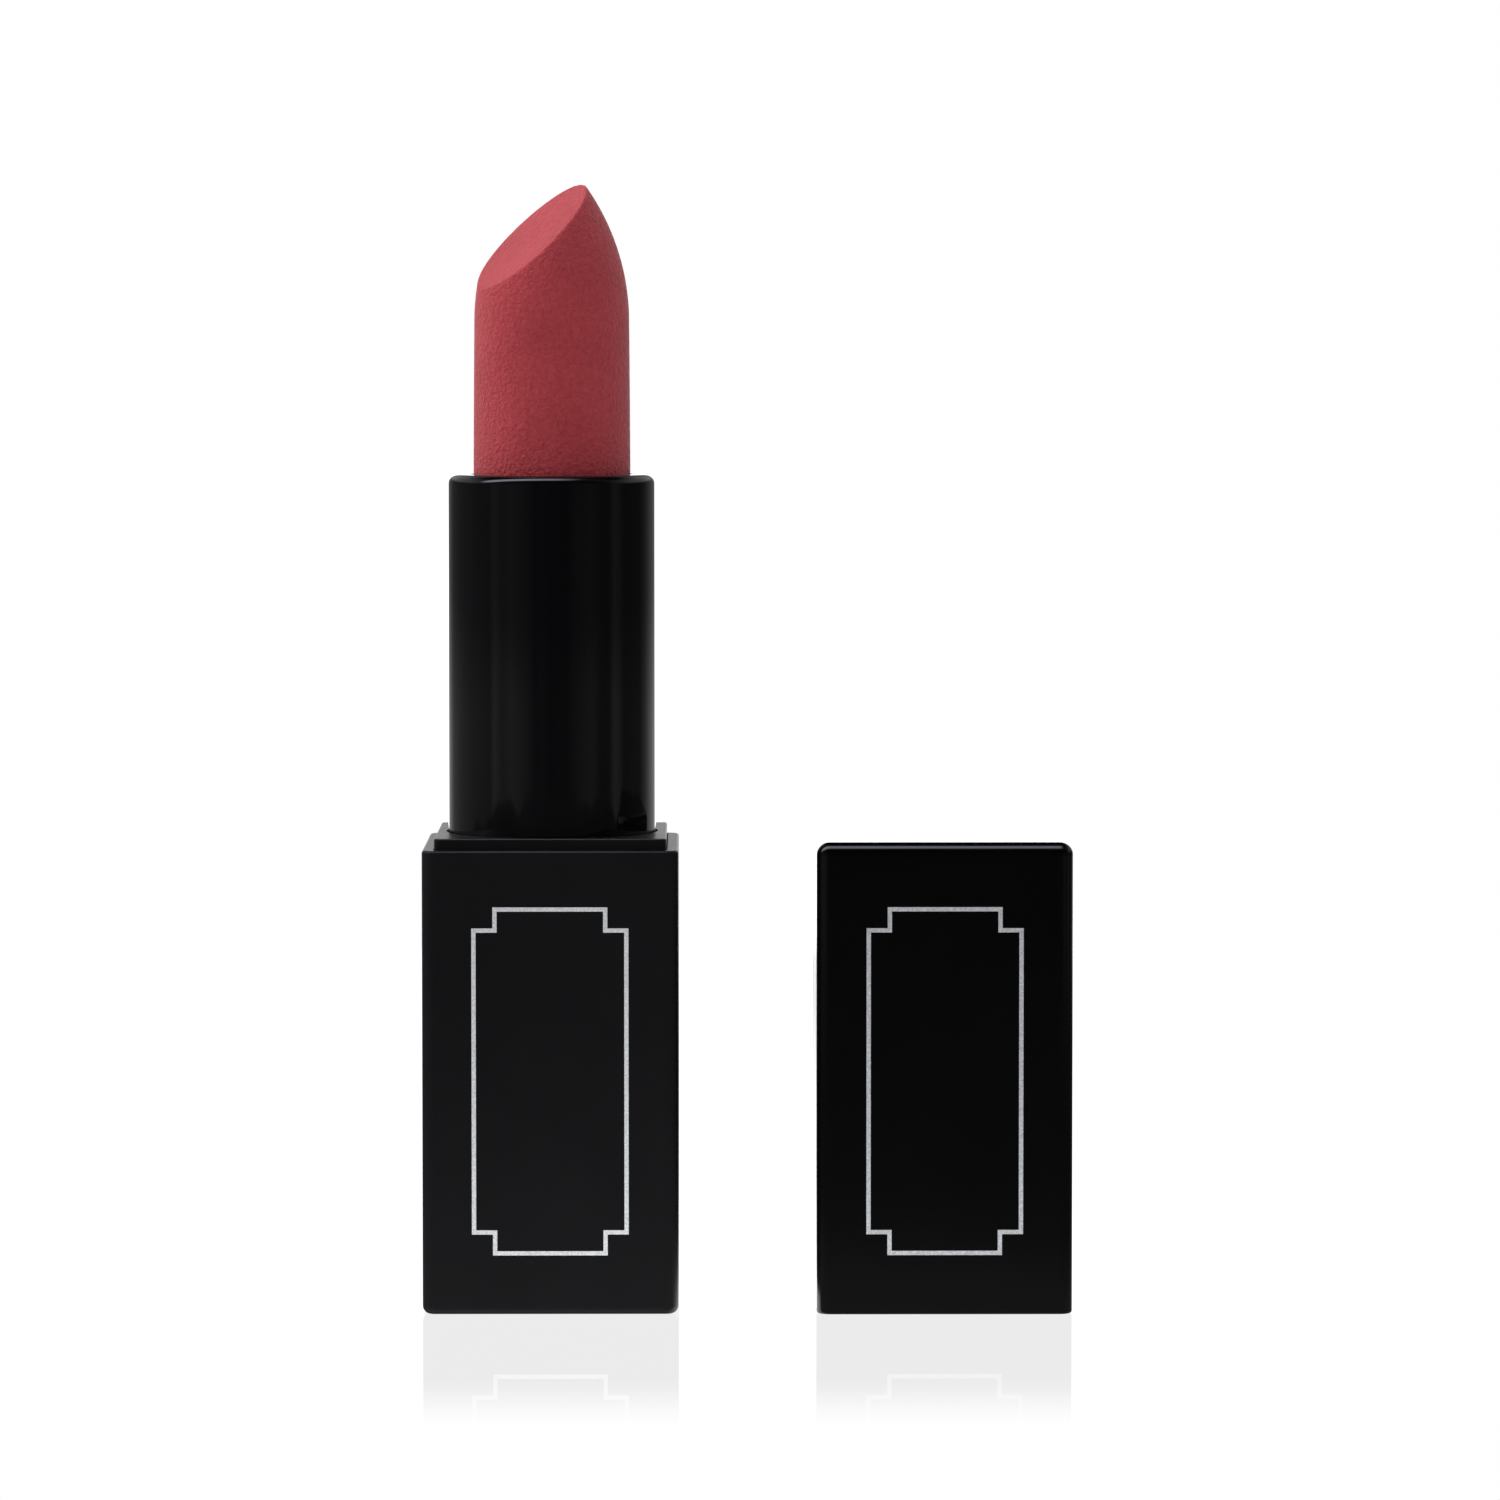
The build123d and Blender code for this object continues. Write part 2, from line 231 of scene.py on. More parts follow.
def makePlatedMetal(name, look):
    # Plated or ground metal: a tinted mirror dulled by fine grinding lines.
    material, tree, shader, place = newMaterial(name, {"Metallic": 1.0})
    along = addNode(tree, "ShaderNodeMapping", {"Scale": look["lines"]}, {"Vector": place})
    lines = addNode(tree, "ShaderNodeTexNoise", {"Scale": perMetre(look["lineMm"]), "Detail": 4.0},
                    {"Vector": along.outputs["Vector"]})
    bump = addNode(tree, "ShaderNodeBump", {"Strength": 0.5, "Distance": look["depthMm"] * mm},
                   {"Height": lines.outputs["Fac"]})
    dress(tree, shader, look, lines.outputs["Fac"], lines.outputs["Fac"], bump)
    return material


baseBlack = makeSoftTouchBlack("softTouchBlack", {
    "dark": "#141417", "light": "#19191c", "roughness": (0.36, 0.41), "specular": 0.45,
    "cloudMm": 6.0, "grainMm": 0.16, "grainStrength": 0.5, "grainDepthMm": 0.003})
capBlack = makeSoftTouchBlack("softTouchDeepBlack", {
    "dark": "#040405", "light": "#080809", "roughness": (0.14, 0.18), "specular": 0.6,
    "cloudMm": 6.0, "grainMm": 0.16, "grainStrength": 0.4, "grainDepthMm": 0.003})
sleeveBlack = makeGlossLacquer()
coreBlack = makeMouldedSkin("mouldedAbs", {
    "dark": "#131314", "light": "#1b1b1c", "roughness": (0.36, 0.42), "ior": 1.53,
    "cloudMm": 4.0, "skinMm": 0.8, "skinDepthMm": 0.002})
waxRose = makeLipstickWax()
baseSilver = makeSilverFoil("stampedSilverFoil", {
    "dark": "#d9dbdf", "light": "#fcfdff", "metal": 0.1, "roughness": (0.4, 0.6),
    "flakeMm": 0.1, "flakeDepthMm": 0.01})
capSilver = makeSilverFoil("stampedDullSilverFoil", {
    "dark": "#ccced2", "light": "#f4f6f9", "metal": 0.3, "roughness": (0.4, 0.6),
    "flakeMm": 0.1, "flakeDepthMm": 0.01})
mechanismBlack = makeMouldedSkin("mouldedAcetal", {
    "dark": "#1c1c1e", "light": "#262628", "roughness": (0.3, 0.4), "ior": 1.48,
    "cloudMm": 3.0, "skinMm": 0.5, "skinDepthMm": 0.002})
linerBlack = makeMouldedSkin("mouldedPolypropylene", {
    "dark": "#121213", "light": "#1a1a1b", "roughness": (0.34, 0.44), "ior": 1.49,
    "cloudMm": 4.0, "skinMm": 0.6, "skinDepthMm": 0.003})
siliconeClear = makeMouldedSkin("mouldedSilicone", {
    "dark": "#b9b8b2", "light": "#cfcec8", "roughness": (0.4, 0.5), "ior": 1.41,
    "cloudMm": 1.5, "skinMm": 0.3, "skinDepthMm": 0.002})
steelZinc = makePlatedMetal("zincPlatedSteel", {
    "dark": "#8f8f8c", "light": "#b6b6b2", "roughness": (0.25, 0.45),
    "lineMm": 0.4, "lines": (1, 0.05, 1), "depthMm": 0.01})
nickelPlate = makePlatedMetal("nickelPlate", {
    "dark": "#a8a49a", "light": "#c4bfb2", "roughness": (0.08, 0.18),
    "lineMm": 0.8, "lines": (1, 1, 1), "depthMm": 0.003})
labelPaper = makeMouldedSkin("coatedPaper", {
    "dark": "#d9d6d0", "light": "#e4e2dd", "roughness": (0.45, 0.6), "ior": 1.45,
    "cloudMm": 2.0, "skinMm": 0.12, "skinDepthMm": 0.004})
print("stage: materials made")


def squareRing(half, corner, height, centreX, look):
    # one outline: an arc at each corner, a support point beside each end of it, and even points on the flat
    ring = []
    reach, support = half - corner, look["supportMm"] * mm
    arcSteps, flatSteps = look["arcSteps"], look["flatSteps"]
    for quarter in range(4):
        turn = Matrix.Rotation(quarter * math.pi / 2, 2)
        points = [Vector((half, reach - support))]
        for step in range(arcSteps + 1):
            angle = step / arcSteps * math.pi / 2
            points.append(Vector((reach + corner * math.cos(angle), reach + corner * math.sin(angle))))
        for step in range(flatSteps + 1):
            points.append(Vector(((reach - support) * (1 - 2 * step / (flatSteps + 1)), half)))
        ring += [turn @ point for point in points]
    return [(centreX + x, y, height) for x, y in ring]


def roundRing(radius, height, centreX, like):
    # a circle with a point on the same bearing as each point of a square outline
    ring = []
    for x, y, z in like:
        bearing = Vector((x - centreX, y)).normalized() * radius
        ring.append((centreX + bearing.x, bearing.y, height))
    return ring


def loft(rings):
    # faces between one outline and the next, with the first and the last closed
    count = len(rings[0])
    points = [point for ring in rings for point in ring]
    faces = [tuple(reversed(range(count))), tuple(range(len(points) - count, len(points)))]
    for row in range(len(rings) - 1):
        for i in range(count):
            a, b = row * count + i, row * count + (i + 1) % count
            faces.append((a, b, b + count, a + count))
    mesh = bpy.data.meshes.new("loft")
    mesh.from_pydata(points, [], faces)
    return finishMesh(mesh)


def roundedEdge(radius, steps):
    # (inset from the face, rise) along a quarter round, from the end face to the side face
    angles = [step / steps * math.pi / 2 for step in range(steps + 1)]
    return [(radius * (1 - math.sin(a)), radius * (1 - math.cos(a))) for a in angles]


def makeShell(node, look):
    # a square cup, from the middle of its closed end round the open edge to the inside of that end
    low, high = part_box(node)
    half = (high.x - low.x) / 2
    centreX = (high.x + low.x) / 2
    height = high.z - low.z
    corner, innerCorner = look["cornerMm"] * mm, look["innerCornerMm"] * mm
    leastCorner, support = look["leastCornerMm"] * mm, look["supportMm"] * mm
    wall, end, lip = look["wallMm"] * mm, look["endMm"] * mm, look["lipMm"] * mm
    closedEdge, openEdge = look["closedEdgeMm"] * mm, look["openEdgeMm"] * mm
    # (inset, corner radius, distance from the closed end)
    outline = [(closedEdge + support, corner - closedEdge + support, 0)]
    for inset, rise in roundedEdge(closedEdge, look["closedSteps"]):
        outline.append((inset, max(corner - inset, leastCorner), rise))
    outline += [(0, corner, closedEdge + support), (0, corner, height - openEdge - support)]
    for inset, rise in reversed(roundedEdge(openEdge, look["openSteps"])):
        outline.append((inset, corner - inset, height - rise))
    outline += [
        (openEdge + support, corner - openEdge - support, height),
        (wall - lip - support, innerCorner + lip + support, height), (wall - lip, innerCorner + lip, height),
        (wall, innerCorner, height - lip), (wall, innerCorner, height - lip - support),
        (wall, innerCorner, end)]
    start, way = (low.z, 1) if look["openEnd"] == "top" else (high.z, -1)
    rings = [squareRing(half - inset, radius, start + way * away, centreX, look)
             for inset, radius, away in outline]
    if look["recessRadiusMm"]:
        radius, depth = look["recessRadiusMm"] * mm, look["recessDepthMm"] * mm
        for away in (0, depth):
            rings.insert(0, roundRing(radius, start + way * away, centreX, rings[0]))
    return loft(rings)


shellLook = {"cornerMm": 1.0, "innerCornerMm": 0.35, "leastCornerMm": 0.1, "endMm": 1.2, "lipMm": 0.08,
             "supportMm": 0.05, "openEdgeMm": 0.2, "arcSteps": 8, "flatSteps": 20,
             "closedSteps": 8, "openSteps": 5}
baseShellLook = {**shellLook, "wallMm": 0.9, "closedEdgeMm": 0.6, "openEnd": "top",
                 "recessRadiusMm": 6.7, "recessDepthMm": 0.15}
capShellLook = {**shellLook, "wallMm": 0.8, "closedEdgeMm": 0.95, "openEnd": "bottom", "recessRadiusMm": 0}
newPiece("baseShell", makeShell("base_shell", baseShellLook), baseBlack, "base", "base_shell")
newPiece("capShell", makeShell("cap_shell", capShellLook), capBlack, "cap", "cap_shell")
print("stage: shells made")


def newGeometryTree(name, inputs):
    tree = bpy.data.node_groups.new(name, "GeometryNodeTree")
    for way in ("INPUT", "OUTPUT"):
        tree.interface.new_socket("Geometry", in_out=way, socket_type="NodeSocketGeometry")
    for label, (kind, value) in {**inputs, "Material": ("NodeSocketMaterial", None)}.items():
        socket = tree.interface.new_socket(label, in_out="INPUT", socket_type=kind)
        if value is not None:
            socket.default_value = value
    return tree, addNode(tree, "NodeGroupInput").outputs, addNode(tree, "NodeGroupOutput")


def endGeometryTree(tree, given, out, geometry):
    solid = addNode(tree, "GeometryNodeRealizeInstances", {}, {"Geometry": geometry})
    coated = addNode(tree, "GeometryNodeSetMaterial", {},
                     {"Geometry": solid.outputs["Geometry"], "Material": given["Material"]})
    tree.links.new(coated.outputs["Geometry"], out.inputs["Geometry"])


def bake(name, mesh, stages):
    # runs geometry-node stages on a mesh and returns a plain mesh, with nothing left live
    source = bpy.data.objects.new(name, mesh)
    bpy.context.scene.collection.objects.link(source)
    for tree, values in stages:
        modifier = source.modifiers.new(tree.name, "NODES")
        modifier.node_group = tree
        sockets = {item.name: item.identifier for item in tree.interface.items_tree if item.in_out == "INPUT"}
        for label, value in values.items():
            modifier[sockets[label]] = value
    depsgraph = bpy.context.evaluated_depsgraph_get()
    result = bpy.data.meshes.new_from_object(source.evaluated_get(depsgraph), depsgraph=depsgraph)
    source.modifiers.clear()
    bpy.data.objects.remove(source)
    return result


def makeLatheTree():
    # turned pieces: a section with filleted corners, swept round the axis
    sweepRadius = 1.0                                # any size serves, since the section is moved in by as much
    tree, given, out = newGeometryTree("turnedSection", {
        "Around": ("NodeSocketInt", 160), "Fillet Steps": ("NodeSocketInt", 8)})
    section = addNode(tree, "GeometryNodeMeshToCurve", {}, {"Mesh": given["Geometry"]})
    radius = addNode(tree, "GeometryNodeInputNamedAttribute", {"data_type": "FLOAT", "Name": "fillet"})
    rounded = addNode(tree, "GeometryNodeFilletCurve", {"mode": "POLY", "Limit Radius": True},
                      {"Curve": section.outputs["Curve"], "Count": given["Fillet Steps"],
                       "Radius": radius.outputs["Attribute"]})
    path = addNode(tree, "GeometryNodeCurvePrimitiveCircle", {"Radius": sweepRadius},
                   {"Resolution": given["Around"]})
    upright = addNode(tree, "GeometryNodeSetCurveNormal", {"mode": "Z_UP"}, {"Curve": path.outputs["Curve"]})
    # the sweep hangs its profile upside down, so the section is turned over
    shifted = addNode(tree, "GeometryNodeTransform", {
        "Translation": (-sweepRadius, 0, 0), "Scale": (1, -1, 1)}, {"Geometry": rounded.outputs["Curve"]})
    swept = addNode(tree, "GeometryNodeCurveToMesh", {},
                    {"Curve": upright.outputs["Curve"], "Profile Curve": shifted.outputs["Geometry"]})
    poled = addNode(tree, "GeometryNodeMergeByDistance", {"Distance": poleGap},
                    {"Geometry": swept.outputs["Mesh"]})
    endGeometryTree(tree, given, out, poled.outputs["Geometry"])
    return tree


latheTree = makeLatheTree()


def sectionMesh(points, closed=True):
    # (radius, height, fillet) in metres, as a loop or a line of edges that carries its fillets
    mesh = bpy.data.meshes.new("section")
    count = len(points)
    edges = [(i, (i + 1) % count) for i in range(count if closed else count - 1)]
    mesh.from_pydata([(r, z, 0) for r, z, fillet in points], edges, [])
    fillets = mesh.attributes.new("fillet", "FLOAT", "POINT")
    fillets.data.foreach_set("value", [fillet for r, z, fillet in points])
    return mesh


def makeSleeve():
    look = {"wallMm": 0.5, "neckMm": 0.2, "lipMm": 0.55, "mouthMm": 6.35, "rimMm": 0.7, "lipEdgeMm": 0.2,
            "innerRimMm": 0.25, "edgeMm": 0.06, "seatMm": 0.02, "stretchMm": 0.2, "around": 192, "steps": 10}
    low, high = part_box("sleeve")
    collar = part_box("base_core")[1].z
    top = high.z + look["stretchMm"] * mm
    outer = (high.x - low.x) / 2
    inner = outer - look["wallMm"] * mm
    neck = outer - look["neckMm"] * mm
    mouth = look["mouthMm"] * mm
    under = top - look["lipMm"] * mm
    edge, seat = look["edgeMm"] * mm, look["seatMm"] * mm
    section = [
        (neck, low.z, edge), (neck, collar - seat, 0), (outer, collar, seat),
        (outer, top, look["rimMm"] * mm), (mouth, top, look["lipEdgeMm"] * mm), (mouth, under, edge),
        (inner, under, look["innerRimMm"] * mm), (inner, low.z, edge)]
    mesh = bake("sleeveSection", sectionMesh(section), [(latheTree, {
        "Around": look["around"], "Fillet Steps": look["steps"], "Material": sleeveBlack})])
    newPiece("sleeveTube", finishMesh(mesh), sleeveBlack, "sleeve", "sleeve")


def makeLabel():
    look = {"edgeMm": 0.03, "around": 96, "steps": 3}
    low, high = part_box("base_label")
    radius = (high.x - low.x) / 2
    edge = look["edgeMm"] * mm
    section = [(0, low.z, 0), (radius, low.z, edge), (radius, high.z, edge), (0, high.z, 0)]
    mesh = bake("labelSection", sectionMesh(section, closed=False), [(latheTree, {
        "Around": look["around"], "Fillet Steps": look["steps"], "Material": labelPaper})])
    newPiece("shadeLabel", finishMesh(mesh), labelPaper, "base", "base_label")


makeSleeve()
makeLabel()
print("stage: sleeve and label turned")


def makeSlantTree():
    # Each point moves towards a point inside the nose until it meets the slanted plane, softly at the rim of
    # the face. Fine unevenness of the wax is real relief.
    leastAhead = 0.01 * mm                           # so points beside or behind the inside point stay put
    tree, given, out = newGeometryTree("slantedFace", {
        "Inside": ("NodeSocketVector", None), "Facing": ("NodeSocketVector", None),
        "Distance": ("NodeSocketFloat", 0.0), "Softness": ("NodeSocketFloat", 0.03),
        "Relief": ("NodeSocketFloat", 0.0), "Relief Scale": ("NodeSocketFloat", 1000.0)})
    position = addNode(tree, "GeometryNodeInputPosition").outputs["Position"]
    ray = addNode(tree, "ShaderNodeVectorMath", {"operation": "SUBTRACT"}, {0: position, 1: given["Inside"]})
    along = addNode(tree, "ShaderNodeVectorMath", {"operation": "DOT_PRODUCT"},
                    {0: ray.outputs["Vector"], 1: given["Facing"]})
    ahead = addNode(tree, "ShaderNodeMath", {"operation": "MAXIMUM", 1: leastAhead},
                    {0: along.outputs["Value"]})
    share = addNode(tree, "ShaderNodeMath", {"operation": "DIVIDE"},
                    {0: given["Distance"], 1: ahead.outputs[0]})
    held = addNode(tree, "ShaderNodeMath", {"operation": "SMOOTH_MIN", 1: 1.0},
                   {0: share.outputs[0], 2: given["Softness"]})
    shorter = addNode(tree, "ShaderNodeVectorMath", {"operation": "SCALE"},
                      {0: ray.outputs["Vector"], "Scale": held.outputs[0]})
    moved = addNode(tree, "ShaderNodeVectorMath", {"operation": "ADD"},
                    {0: shorter.outputs["Vector"], 1: given["Inside"]})
    cut = addNode(tree, "GeometryNodeSetPosition", {},
                  {"Geometry": given["Geometry"], "Position": moved.outputs["Vector"]})
    normal = addNode(tree, "GeometryNodeInputNormal")
    uneven = addNode(tree, "ShaderNodeTexNoise", {"Detail": 2.0}, {"Scale": given["Relief Scale"]})
    level = addNode(tree, "ShaderNodeMath", {"operation": "SUBTRACT", 1: 0.5}, {0: uneven.outputs["Fac"]})
    height = addNode(tree, "ShaderNodeMath", {"operation": "MULTIPLY"},
                     {0: level.outputs[0], 1: given["Relief"]})
    lift = addNode(tree, "ShaderNodeVectorMath", {"operation": "SCALE"},
                   {0: normal.outputs["Normal"], "Scale": height.outputs[0]})
    grained = addNode(tree, "GeometryNodeSetPosition", {},
                      {"Geometry": cut.outputs["Geometry"], "Offset": lift.outputs["Vector"]})
    endGeometryTree(tree, given, out, grained.outputs["Geometry"])
    return tree


def makeBullet():
    # a turned stick with a little draft and an arched nose, then its nose pulled in to one slanted face
    look = {"reachMm": 22.6, "draftMm": 0.1, "noseMm": 10.7, "noseRadiusMm": 17.9, "slopeDegrees": 44.0,
            "turnDegrees": 27.0, "dropMm": 2.59, "softness": 0.014, "insideMm": 8.0, "asideMm": 0.03,
            "around": 240, "spacingMm": 0.16, "reliefMm": 0.012, "reliefSizeMm": 0.7, "sharpDegrees": 60}
    low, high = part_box("bullet")
    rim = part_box("sleeve")[1].z
    radius = (high.x - low.x) / 2
    tip = rim + look["reachMm"] * mm
    nose = tip - look["noseMm"] * mm
    noseRadius, bend = radius - look["draftMm"] * mm, look["noseRadiusMm"] * mm
    spacing = look["spacingMm"] * mm
    section = [(0, low.z, 0), (radius, low.z, 0)]
    stretch = int((nose - low.z) / (2 * spacing))
    for i in range(1, stretch):
        share = i / stretch
        section.append((radius + (noseRadius - radius) * share ** 2, low.z + (nose - low.z) * share, 0))
    sweep = math.acos((bend - noseRadius) / bend)
    steps = int(sweep * bend / spacing)
    for i in range(steps + 1):
        angle = sweep * i / steps
        section.append((max(noseRadius - bend + bend * math.cos(angle), 0), nose + bend * math.sin(angle), 0))
    slope, turn = math.radians(look["slopeDegrees"]), math.radians(look["turnDegrees"])
    facing = Vector((-math.cos(turn) * math.sin(slope), -math.sin(turn) * math.sin(slope), math.cos(slope)))
    inside = Vector((0, 0, rim + look["insideMm"] * mm))
    crossing = Vector((0, 0, tip - look["dropMm"] * mm))
    mesh = bake("bulletSection", sectionMesh(section, closed=False), [
        (latheTree, {"Around": look["around"], "Fillet Steps": 1, "Material": waxRose}),
        (makeSlantTree(), {"Inside": inside, "Facing": facing, "Distance": (crossing - inside).dot(facing),
                           "Softness": look["softness"], "Relief": look["reliefMm"] * mm,
                           "Relief Scale": perMetre(look["reliefSizeMm"]), "Material": waxRose})])
    mesh.transform(Matrix.Translation((look["asideMm"] * mm, 0, 0)))
    mesh = finishMesh(mesh, look["sharpDegrees"])
    newPiece("lipstickBullet", mesh, waxRose, "carrier", "bullet")


makeBullet()
print("stage: bullet made")


def makeLineTree():
    # a flat band drawn along a closed path of right-angled corners, full width at each mitre
    tree, given, out = newGeometryTree("stampedLine", {
        "Width": ("NodeSocketFloat", 0.0), "Thickness": ("NodeSocketFloat", 0.0)})
    path = addNode(tree, "GeometryNodeMeshToCurve", {}, {"Mesh": given["Geometry"]})
    flat = addNode(tree, "GeometryNodeSetCurveNormal", {"mode": "Z_UP"}, {"Curve": path.outputs["Curve"]})
    mitre = addNode(tree, "GeometryNodeSetCurveRadius", {"Radius": math.sqrt(2)},
                    {"Curve": flat.outputs["Curve"]})
    thin = addNode(tree, "ShaderNodeMath", {"operation": "DIVIDE", 1: math.sqrt(2)}, {0: given["Thickness"]})
    band = addNode(tree, "GeometryNodeCurvePrimitiveQuadrilateral", {},
                   {"Width": given["Width"], "Height": thin.outputs[0]})
    swept = addNode(tree, "GeometryNodeCurveToMesh", {},
                    {"Curve": mitre.outputs["Curve"], "Profile Curve": band.outputs["Curve"]})
    endGeometryTree(tree, given, out, swept.outputs["Mesh"])
    return tree


lineTree = makeLineTree()


def makeFoil(name, node, body, silver):
    # a frame with stepped corners, its back sunk a little into the face it is stamped on
    look = {"lineMm": 0.46, "notchMm": 1.6, "sinkMm": 0.02}
    low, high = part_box(node)
    line, notch = look["lineMm"] * mm, look["notchMm"] * mm
    wide, tall = (high.x - low.x - line) / 2, (high.z - low.z - line) / 2
    quarter = [(wide, tall - notch), (wide - notch, tall - notch), (wide - notch, tall)]
    loop = quarter + [(-x, z) for x, z in reversed(quarter)]
    loop += [(-x, -z) for x, z in loop]
    mesh = bpy.data.meshes.new(name)
    count = len(loop)
    mesh.from_pydata([(x, z, 0) for x, z in loop], [(i, (i + 1) % count) for i in range(count)], [])
    thick = high.y - low.y + look["sinkMm"] * mm
    mesh = bake(name + "Path", mesh, [(lineTree, {"Width": line, "Thickness": thick, "Material": silver})])
    stand = Matrix.Rotation(math.pi / 2, 4, "X")
    centre = Vector(((low.x + high.x) / 2, low.y + thick / 2, (low.z + high.z) / 2))
    mesh.transform(Matrix.Translation(centre) @ stand)
    newPiece(name, finishMesh(mesh), silver, body, node)


makeFoil("baseLine", "base_foil", "base", baseSilver)
makeFoil("capLine", "cap_foil", "cap", capSilver)
print("stage: silver lines drawn")


# the pieces that keep their CAD shape
cadFinishes = {
    "base_core": coreBlack, "base_weight": steelZinc, "guide_tube": mechanismBlack,
    "brake_ring": siliconeClear, "spiral": mechanismBlack, "cup": mechanismBlack,
    "cap_liner": linerBlack, "cap_weight": steelZinc}
for i in range(1, 5):
    cadFinishes[f"base_magnet_{i}"] = nickelPlate
    cadFinishes[f"cap_magnet_{i}"] = nickelPlate
for name, material in cadFinishes.items():
    nodes[name].data.materials.clear()
    nodes[name].data.materials.append(material)
print("stage: CAD pieces finished")


def placeHolder(name, data, look):
    # an object for a camera or a light that looks at its aim
    holder = bpy.data.objects.new(name, data)
    bpy.context.scene.collection.objects.link(holder)
    holder.location = look["place"]
    holder.rotation_euler = (Vector(look["aim"]) - holder.location).to_track_quat("-Z", "Y").to_euler()
    return holder


def makeCamera():
    look = {"place": (0.01111, -0.55, 0.07668), "aim": (0.01526, 0.0, 0.04248), "frameWidth": 0.11547,
            "sensor": 36, "clip": (0.01, 20)}
    camera = bpy.data.cameras.new("camera")
    camera.sensor_width = look["sensor"]
    camera.lens = look["sensor"] * -look["place"][1] / look["frameWidth"]
    camera.clip_start, camera.clip_end = look["clip"]
    bpy.context.scene.camera = placeHolder("camera", camera, look)


maths, ramp, remap, mix = "ShaderNodeMath", "ShaderNodeValToRGB", "ShaderNodeMapRange", "ShaderNodeMix"
# ends both light plans: a matt surface meets one light, a glossy one another, and the camera plain white
sightPlan = [
    ("bounced", mix, {"data_type": "FLOAT"}, {0: "isGlossy", 2: "matt", 3: "glossy"}),
    ("seen", mix, {"data_type": "FLOAT", 3: 1.0}, {0: "isCamera", 2: "bounced"})]


def startLightTree(tree, coordinates):
    # empties a tree and names the values that a plan starts from
    tree.nodes.clear()
    place = addNode(tree, "ShaderNodeTexCoord").outputs[coordinates]
    x, y, z = addNode(tree, "ShaderNodeSeparateXYZ", {}, {0: place}).outputs
    ray = addNode(tree, "ShaderNodeLightPath").outputs
    return {"place": place, "x": x, "y": y, "z": z,
            "isCamera": ray["Is Camera Ray"], "isGlossy": ray["Is Glossy Ray"]}


